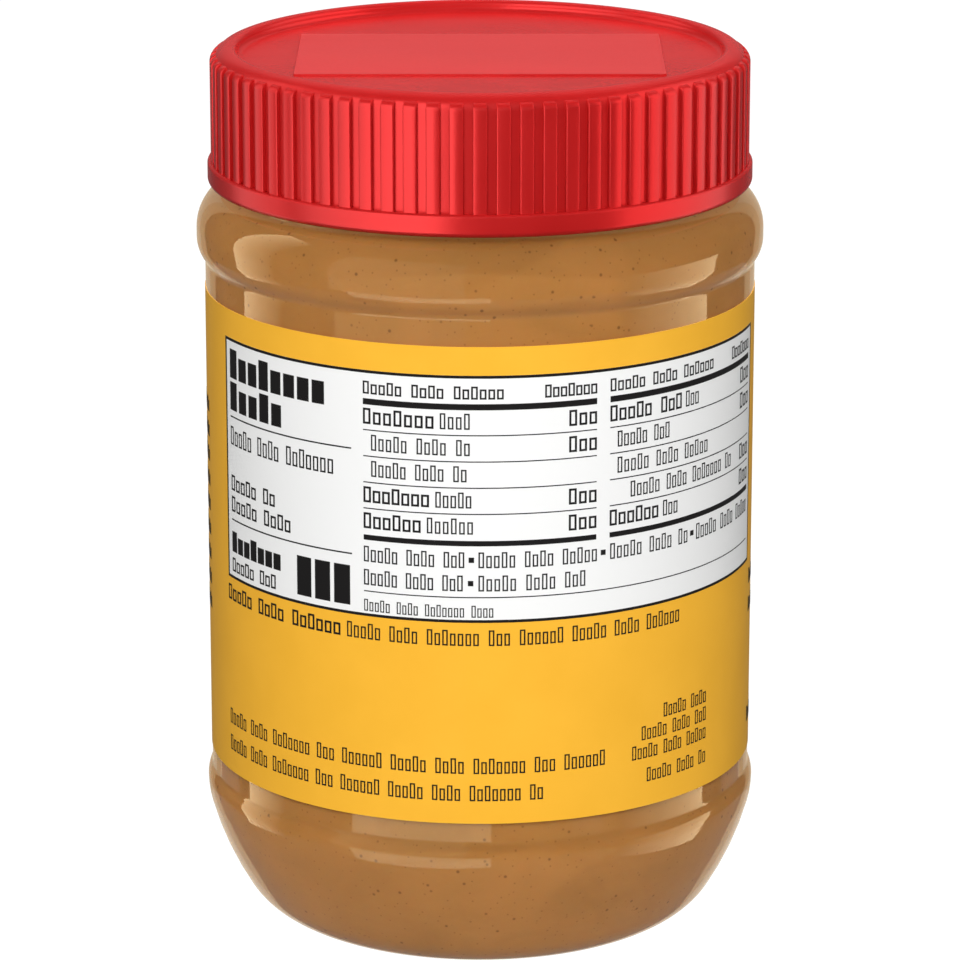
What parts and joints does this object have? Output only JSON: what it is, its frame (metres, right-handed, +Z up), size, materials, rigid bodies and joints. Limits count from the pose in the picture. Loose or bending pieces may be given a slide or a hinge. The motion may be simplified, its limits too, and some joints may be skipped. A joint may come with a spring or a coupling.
{
  "type": "peanut butter jar",
  "caption": "Round clear plastic jar full of smooth peanut butter, with a ribbed red screw lid and a yellow wrap-around label.",
  "frame": {"origin": "middle of the standing ring, on the surface the jar stands on", "axes": "+Z up along the jar's axis, -Y towards the front of the label, +X to the right of it"},
  "size_m": [0.075, 0.075, 0.1182],
  "materials": {
    "clear_plastic": "clear blow-moulded plastic, glossy",
    "peanut_butter": "smooth brown spread with fine dark specks, pressed against the wall",
    "red_plastic": "moulded satin plastic",
    "label_film": "printed film, yellow with a white panel and dark bars in place of the words"
  },
  "bodies": {
    "root": {"jar": "clear_plastic", "peanut_butter": "peanut_butter", "lid": "red_plastic", "label": "label_film"}
  },
  "joints": []
}
